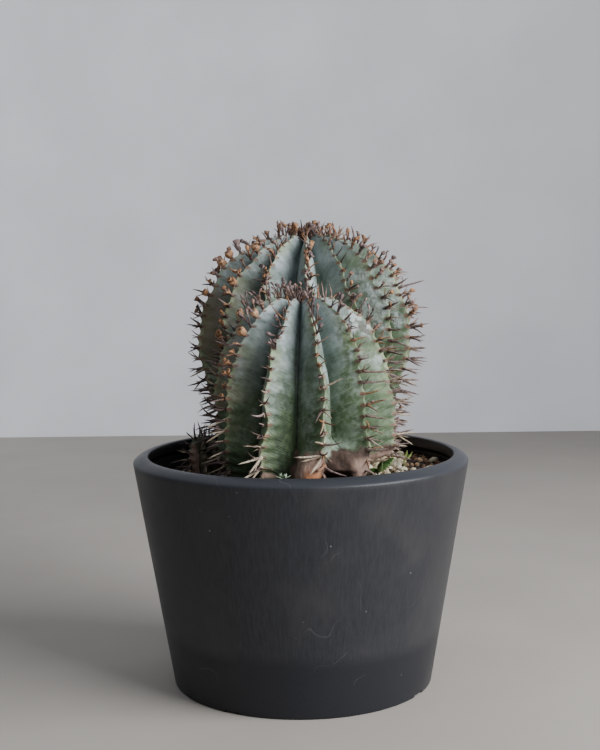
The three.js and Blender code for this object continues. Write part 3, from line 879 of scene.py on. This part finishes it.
# The spines: the dry, sharp stalks of old flowers, two to six from most bumps of a crest. They are
# straw-pale and long near the soil, brown and orange higher up, and some are curled.
def crest_sites(stem, press=None):
    """Every bump of every crest: its spot, outward way, side way, share of the way up, and rib."""
    shares = np.linspace(0, 1, 700)
    run = outline_run(stem.crest, shares)
    most = int(run[-1] / stem.pitch) + 2
    sites = []
    for rib in range(len(stem.azimuth)):
        for k in range(most):
            along = (k + 0.5 - stem.phase[rib]) * stem.pitch
            if not 0 < along < run[-1]:
                continue
            share = float(np.interp(along, run, shares))
            radius, z = smooth_outline(stem.crest, share)
            ahead = smooth_outline(stem.crest, min(share + 0.004, 1.0))
            facing = stem.facing(rib, z)
            spot = stem.place(facing, radius, z)
            in_soil = z < bed_level + bed_slope * spot[0] + 3.5 * MM
            if in_soil or stem.standing(rib, z) < 0.75:
                continue
            if press is not None and np.abs(press(spot) - spot).max() > 0.1 * MM:
                continue
            slope = np.array([ahead[1] - z, radius - ahead[0]])
            slope /= np.linalg.norm(slope)
            outward = Vector((slope[0] * math.sin(facing), -slope[0] * math.cos(facing), slope[1]))
            sideways = Vector((math.cos(facing), math.sin(facing), 0))
            sites.append((Vector(spot), outward.normalized(), sideways, stem.share_up(z), rib))
    return sites


def nearest_site(sites, rib, z):
    """The bump of a rib that is nearest to a height in mm."""
    return min(sites, key=lambda site: abs(site[0].z - z * MM) + (0 if site[4] == rib else 1))


def clear_length(spot, aim, length):
    """A spine stops short of the pot's lip, of the soil, and of the model's own room."""
    for _ in range(12):
        tip = spot + aim * length
        beyond = math.hypot(tip.x, tip.y)
        in_pot = beyond > inner_radius(tip.z) - 1 * MM and tip.z < pot_height + 1 * MM
        in_soil = tip.z < bed_level + 1.5 * MM
        too_far = any(tip[a] < cad_low[a] - 2 * MM or tip[a] > cad_high[a] + 2 * MM for a in range(3))
        if not (in_pot or in_soil or too_far):
            return length
        length *= 0.85
    return 0.0


def shoot(tree, outline, bend, sides, segments):
    """A unit shoot along Z from (share, radius, height) points, bent to one side, that keeps its reach."""
    tube = result(tree, "GeometryNodeMeshCone", Vertices=sides, Side_Segments=segments, Radius_Top=1.0,
                  Radius_Bottom=1.0, Depth=1.0, output="Mesh")
    x, y, share = parts_of(result(tree, "GeometryNodeInputPosition"))
    radius = float_curve(share, [(s, r) for s, r, _ in outline])
    height = float_curve(share, [(s, h) for s, _, h in outline])
    bent = vector_of(tree, x * radius + height.maths("POWER", 2.2) * bend, y * radius, height)
    noted = result(tree, "GeometryNodeStoreNamedAttribute", tube, Name="reach", Value=share,
                   data_type="FLOAT")
    return result(tree, "GeometryNodeSetPosition", noted, Position=bent)


def shoots_tree(name, kinds, material, crumple):
    """On every point, the shoot that its kind names, along its aim, rolled and as long as it says."""
    tree, given = new_tree(name, Crumple=crumple, Crumple_Scale=420.0)
    aim = named(tree, "aim", "FLOAT_VECTOR")
    along = result(tree, "FunctionNodeAlignRotationToVector", Vector=aim, axis="Z")
    roll = result(tree, "FunctionNodeEulerToRotation", vector_of(tree, z=named(tree, "roll")))
    turned = result(tree, "FunctionNodeRotateRotation", along, roll, rotation_space="LOCAL")
    everything = [copies(given["Geometry"], shoot(tree, *kind), turned, Scale=named(tree, "length"),
                         Selection=named(tree, "kind").maths("COMPARE", float(number), 0.1))
                  for number, kind in enumerate(kinds)]
    return finished(crumpled(joined(everything), given["Crumple"], given["Crumple Scale"]), material)


def shoots(name, rows, kinds, material, crumple):
    """One piece of a shoot for every row of spot, aim, roll, length, kind and tint."""
    spots, aims, rolls, lengths, chosen, tints = zip(*rows)
    seats = keep_values(piece_from(name + "_sites", spots), aim=aims, roll=rolls, length=lengths, kind=chosen,
                        tint=tints)
    return grown(seats, shoots_tree(name + "_grown", kinds, material, crumple), name)


def needle(thick):
    return [(0, thick * 1.9, 0), (0.1, thick * 1.25, 0.1), (0.35, thick, 0.35), (0.8, thick * 0.7, 0.8),
            (1, thick * 0.12, 1)]


spine_kinds = [(needle(0.05), 0.12, 5, 5), (needle(0.062), 0.34, 5, 6), (needle(0.04), 0.08, 5, 5),
               (needle(0.056), 0.62, 5, 7)]


def spine_rows(sites, seed, straw_below, straws=()):
    """The spines of every site, one or two near the crown and up to six on the right, and then the straws."""
    draw = random.Random(seed)
    rows = []
    for spot, outward, sideways, up, _ in sites:
        tangled = spot.x > 36 * MM and up < 0.55
        count = draw.choice([2, 3, 3, 4, 5]) if up < 0.8 else draw.choice([1, 2, 2])
        if tangled:
            count = draw.choice([4, 5, 6])
        for n in range(count):
            spread = draw.uniform(-0.75, 0.75) if count > 1 else draw.uniform(-0.35, 0.35)
            aim = outward + sideways * spread + Vector((0, 0, draw.uniform(-0.3, 0.35)))
            aim.normalize()
            if up < straw_below:
                length, kind = draw.uniform(8, 14), 2
                tint = draw.uniform(0.75, 1.0)
            elif up < 0.5:
                length, kind = draw.triangular(4.5, 13, 7.5), draw.choice([0, 0, 1, 1, 2, 3])
                tint = draw.choice([0.1, 0.2, 0.3, 0.38, 0.45, 0.6, 0.8, 0.9])
            else:
                length, kind = draw.triangular(3.5, 10, 5.5), draw.choice([0, 1, 1, 3])
                tint = draw.choice([0.05, 0.2, 0.35, 0.5, 0.62])
            if tangled:
                length, kind = draw.uniform(6, 12.5), draw.choice([2, 2, 2, 0])
                tint = draw.choice([0.24, 0.34, 0.36, 0.38, 0.85])
            # Spines far to the left are darker: painted shade, for the side away from the window.
            if spot.x < -30 * MM:
                tint *= 0.6
            if spot.x < -14 * MM and spot.z < 170 * MM and 0.3 < tint < 0.7:
                tint = 0.88 if n % 2 else 0.15
            length = clear_length(spot, aim, length * MM)
            if length < 2 * MM:
                continue
            rows.append((spot - aim * 0.5 * MM, aim, draw.uniform(0, 6.3), length, kind,
                         min(1, max(0, tint + draw.uniform(-0.08, 0.08)))))
    for rib, z, aim, length, tint in straws:
        aim = Vector(aim).normalized()
        rows.append((nearest_site(sites, rib, z)[0] - aim * MM, aim, z, length * MM, 2, tint))
    return rows


# The long ones that stand out: by rib, height, aim, length and tint.
foot_straws = [
    (1, 126, (-0.75, -0.5, -0.42), 17, 0.95), (1, 124, (-0.55, -0.65, -0.5), 14, 0.88),
    (1, 131, (-0.85, -0.45, -0.15), 14, 1.0), (1, 129, (-0.3, -0.85, -0.35), 15, 0.92),
    (1, 135, (-0.8, -0.5, 0.2), 11, 0.84), (1, 127, (0.55, -0.8, 0.05), 12, 0.9),
    (2, 133, (-0.9, -0.45, -0.05), 17, 0.98), (2, 131, (-0.95, -0.3, -0.22), 14, 0.9),
    (2, 134, (0.2, -0.95, 0.25), 12, 0.85), (2, 132, (-0.55, -0.7, -0.62), 16, 0.94),
    (2, 136, (-0.35, -0.85, 0.3), 13, 0.86), (2, 166, (0.86, -0.35, 0.35), 13, 0.93),
    (3, 140, (0.6, -0.7, -0.4), 13, 0.9), (3, 146, (0.75, -0.6, -0.3), 12, 0.84),
    (4, 138, (0.8, -0.35, -0.35), 12, 0.9), (3, 171, (0.9, -0.4, 0.0), 15, 0.42),
    (3, 166, (0.92, -0.38, 0.03), 15, 0.36), (3, 152, (0.85, -0.5, -0.1), 13, 0.4),
    (0, 150, (-0.8, -0.55, -0.25), 13, 0.95), (0, 141, (-0.75, -0.5, -0.4), 13, 0.9)]
side_straws = [
    (8, 209, (0.95, -0.15, 0.25), 16, 0.3), (8, 201, (0.98, -0.15, 0.05), 14, 0.38),
    (7, 190, (0.9, -0.4, 0.1), 13, 0.32), (8, 168, (0.95, -0.2, -0.1), 13, 0.35),
    (7, 156, (0.92, -0.35, -0.15), 14, 0.3), (8, 146, (0.94, -0.2, -0.2), 13, 0.4)]
spine_dry = dry_material("dry_spines", [
    (0, (0.05, 0.032, 0.034)), (0.22, (0.14, 0.09, 0.08)), (0.36, (0.42, 0.32, 0.305)),
    (0.48, (0.27, 0.15, 0.1)), (0.62, (0.46, 0.22, 0.085)), (0.82, (0.5, 0.39, 0.27)),
    (1, (0.68, 0.6, 0.47))],
    ((0.55, 0.5, 0.48), (1, 1, 1), 700, 3, 0.35, 0.65), (0.72, 0.52), 0.2 * MM,
    [((0.65, 1, 0, 0.45), (0.05, 0.028, 0.022))])
tall_sites = crest_sites(tall, pressed_back)
short_sites = crest_sites(short)
for name, sites, seed, straws in (("spines_tall", tall_sites, 7, side_straws),
                                  ("spines_short", short_sites, 8, foot_straws)):
    spines = shoots(name, spine_rows(sites, seed, 0.1, straws), spine_kinds, spine_dry, 0.35 * MM)
    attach(spines, "root")


# The dried flowers: short stalks that end in small crumpled cups, thick about both crowns, purplish grey
# on the shorter stem and orange brown on the taller one.
cup = [(0, 0.09, 0), (0.2, 0.06, 0.35), (0.42, 0.055, 0.68), (0.58, 0.12, 0.76), (0.75, 0.2, 0.88),
       (0.87, 0.19, 1), (1, 0.07, 0.9)]
bud = [(0, 0.09, 0), (0.2, 0.065, 0.3), (0.45, 0.06, 0.6), (0.6, 0.14, 0.7), (0.8, 0.15, 0.88), (1, 0.02, 1)]
double = [(0, 0.1, 0), (0.2, 0.07, 0.22), (0.35, 0.16, 0.38), (0.5, 0.07, 0.5), (0.7, 0.17, 0.75),
          (0.88, 0.19, 0.95), (1, 0.05, 0.9)]
twig = [(0, 0.085, 0), (0.3, 0.06, 0.35), (0.55, 0.075, 0.6), (0.8, 0.05, 0.85), (1, 0.03, 1)]
pod = [(0, 0.16, 0), (0.2, 0.12, 0.2), (0.4, 0.32, 0.35), (0.65, 0.44, 0.65), (0.85, 0.36, 0.9),
       (1, 0.1, 0.86)]
wiry = [(0, 0.05, 0), (0.2, 0.034, 0.3), (0.5, 0.03, 0.74), (0.65, 0.07, 0.82), (0.82, 0.095, 0.92),
        (1, 0.03, 1)]
flower_kinds = [(cup, 0.15, 6, 7), (bud, 0.3, 6, 6), (double, 0.4, 6, 7), (twig, 0.5, 5, 5), (pod, 0.1, 7, 7),
                (wiry, 0.3, 5, 6)]
pod_kind = 4
wiry_kind = 5


def flower_rows(sites, seed, lowest, tints, lengths, wiry_above, tufted, pods):
    """One to five dried flowers for most sites near a crown and on a tufted rib, and then the seed pods."""
    draw = random.Random(seed)
    rows = []
    for spot, outward, sideways, up, rib in sites:
        often = (up - lowest) / (0.95 - lowest)
        clump = 1 + 3.6 * noise.noise(spot * 75)
        tuft = rib in tufted and 0.48 < up < 0.86
        if draw.random() > often * 1.25 * clump and not tuft:
            continue
        crowded = often * clump > 0.4 or tuft
        many = [1, 1, 2, 3] if up > 0.93 else [2, 3, 4, 5]
        for n in range(draw.choice(many) if crowded else draw.choice([1, 1, 2])):
            aim = outward + sideways * draw.uniform(-0.8, 0.8) + Vector((0, 0, draw.uniform(0.0, 0.7)))
            aim.normalize()
            kind = draw.choice([0, 0, 1, 2, 3, 3])
            length = draw.uniform(*lengths)
            if up > wiry_above and clump > 0.75 and n < 2:
                kind, length = wiry_kind, draw.uniform(6, 11)
                aim = (aim + Vector((draw.uniform(-0.5, 0.3), 0, 0.4))).normalized()
            length = clear_length(spot, aim, length * MM)
            if length < 1.5 * MM:
                continue
            rows.append((spot - aim * 0.4 * MM, aim, draw.uniform(0, 6.3), length, kind,
                         draw.uniform(0.5, 0.9) if tuft else draw.uniform(*tints)))
    for rib, z, size in pods:
        spot, outward = nearest_site(sites, rib, z)[:2]
        aim = (outward + Vector((0, -0.3, 0.4))).normalized()
        rows.append((spot - aim * 0.3 * MM, aim, z, size * MM, pod_kind, draw.uniform(0.75, 1)))
    return rows


flower_dry = dry_material("dry_flowers", [
    (0, (0.17, 0.125, 0.13)), (0.3, (0.31, 0.22, 0.205)), (0.55, (0.38, 0.195, 0.1)),
    (0.8, (0.54, 0.29, 0.145)), (1, (0.7, 0.45, 0.29))],
    ((0.5, 0.45, 0.43), (1, 1, 1), 620, 4, 0.35, 0.62), (0.9, 0.7), 0.3 * MM,
    [((0.5, 0.3, 0, 0.75), (0.1, 0.068, 0.06)), ((0.9, 1, 0, 0.8), (0.05, 0.03, 0.022))])
tall_pods = [(1, 228, 6), (1, 222, 5.5), (2, 232, 6.5), (0, 222, 5.5), (2, 212, 5.5), (1, 206, 5)]
short_pods = [(0, 197, 5.5), (0, 191, 6), (10, 196, 5.5)]
for name, *growth in (
        ("flowers_tall", tall_sites, 17, 0.52, (0.05, 0.78), (4.5, 8.5), 2, (2,), tall_pods),
        ("flowers_short", short_sites, 18, 0.62, (0, 0.42), (3.5, 7), 0.85, (0,), short_pods)):
    flowers = shoots(name, flower_rows(*growth), flower_kinds, flower_dry, 1.3 * MM)
    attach(flowers, "root")


# The offset: a young six-ribbed shoot at the lower left, green on its right and brown and corky on its
# left, with pale spines of its own. It is rooted in the soil beside the stems.
offset = Stem(
    axis=(-52, 6), lean=-1, flatten=(1, 1),
    crest=[(7, 100), (8.5, 109), (9.4, 117), (8.8, 125), (5.5, 131), (0, 131)],
    valley=[(5.5, 100), (6, 109), (6.3, 117), (5.3, 124), (2.6, 129), (0, 131)],
    ribs=[(10, 0), (70, 0), (130, 0), (190, 0), (250, 0), (310, 0)],
    foot=100, cork=[106, 106, 106, 114, 122, 127], pitch=4.2, seed=63)
offset_skin = stem_piece("offset_shoot", offset, 56, 16)
# Its skin is a darker copy, with shade at 0.7: painted shade for the offset, which stands in shadow low at
# the left.
offset_skin.data.materials.append(skin_material("waxy_skin_offset", 1.7, 2.1, 0.7))
offset_rows = spine_rows(crest_sites(offset), 9, 0)
offset_spines = shoots("spines_offset", offset_rows, spine_kinds, spine_dry, 0.3 * MM)
for piece in (offset_skin, offset_spines):
    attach(piece, "root")
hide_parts("offset_stem")


# The weeds: three seedlings in the soil. One grey-green rosette at the front lip, one toothed dark leaf and
# one bright tuft at the right.
stations = 14
blade_round = [(-1, 1), (-0.5, 1), (0, 1), (0.5, 1), (1, 1), (0.5, -1), (0, -1), (-0.5, -1)]  # across, face
leaf_thickness = 0.22 * MM
droop = 0.12  # of a leaf's length
stalk_radius = 0.45 * MM


def add_blade(points, faces, start, facing, rise, length, width, teeth, roll):
    """Adds one closed leaf: a thin folded blade that tapers to a point and droops a little."""
    turn, lift = math.radians(facing), math.radians(rise)
    ahead = Vector((math.sin(turn) * math.cos(lift), -math.cos(turn) * math.cos(lift), math.sin(lift)))
    wide = Vector((math.cos(turn), math.sin(turn), 0))
    wide.rotate(Matrix.Rotation(math.radians(roll), 3, ahead))
    over = wide.cross(ahead).normalized()
    rings = []
    for k in range(1, stations):
        share = k / stations
        centre = start + ahead * length * share - Vector((0, 0, length * droop * share**2))
        half = width / 2 * math.sin(math.pi * share**0.75) ** 0.8
        half *= 1 + (teeth if k % 2 else -teeth)
        rings.append([centre + wide * half * s + over * (
            abs(s) * half * 0.35 + face * leaf_thickness * (1 - abs(s)) / 2) for s, face in blade_round])
    add_loft(points, faces, rings, (start, start + ahead * length - Vector((0, 0, length * droop))))


def weed_material(name, dark, light, edge_colour):
    material, surface, spot = new_material(name)
    green, green_height = mottled(spot, dark, light, 380, 4, 0.3, 0.7)
    rim = mix_colour(attribute(spot, "edge").ranged(0.55, 1, 0, 0.85), green, edge_colour)
    coated(surface, rim, green_height.ranged(0, 1, 0.5, 0.65), green_height, 0.2 * MM)
    return material


# Each: name, root, height, lean, leaf width, teeth, roll, leaves (facing, lift, length) and three colours.
weeds = [
    ("weed_front", (-8.5, -75), 12.4, (0, -4.5), 1.9, 0.05, 0,
     [(-62, 25, 4.5), (8, 38, 4.5), (80, 28, 4.3), (150, 40, 4), (215, 40, 4), (280, 72, 3.5), (40, 66, 3)],
     ((0.12, 0.19, 0.11), (0.27, 0.36, 0.24), (0.42, 0.5, 0.38))),
    ("weed_right", (38.5, -20), 3.2, (1, 0), 5.0, 0.2, 62,
     [(86, 44, 13.5), (-50, 30, 6), (20, 34, 6.5), (55, 62, 8)],
     ((0.02, 0.06, 0.012), (0.075, 0.165, 0.03), (0.36, 0.45, 0.2))),
    ("weed_far", (57, 12), 3.4, (0, 0), 1.8, 0.08, 25,
     [(90, 50, 7), (20, 62, 8), (-70, 50, 7), (200, 45, 6), (-20, 45, 6), (120, 35, 6)],
     ((0.05, 0.12, 0.02), (0.17, 0.3, 0.055), (0.5, 0.48, 0.14))),
]
for name, root, rise, lean, width, teeth, roll, leaves, colours in weeds:
    points, faces = [], []
    x, y = root[0] * MM, root[1] * MM
    low = Vector((x, y, bed_height(x, y) - 3 * MM))
    high = Vector((x + lean[0] * MM, y + lean[1] * MM, bed_level + bed_slope * x + (rise + 0.9) * MM))
    stalk = [[end + Vector((across, along, 0)) * radius for across, along in circle(6)]
             for end, radius in ((low, stalk_radius), (high, stalk_radius * 0.75))]
    add_loft(points, faces, stalk, (low, high))
    edge_share = [0.0] * len(points)
    start = high - Vector((0, 0, 0.2 * MM))
    for facing, lift, length in leaves:
        add_blade(points, faces, start, facing, lift, length * MM, width * MM, teeth, roll)
        edge_share += [abs(s) for s, _ in blade_round] * (stations - 1) + [0.3, 1.0]
    weed = keep_values(piece_from(name + "_leaves", points, faces), edge=edge_share)
    weed.data.materials.append(weed_material(name + "_green", *colours))
    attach(weed, "root")
    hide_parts(name)
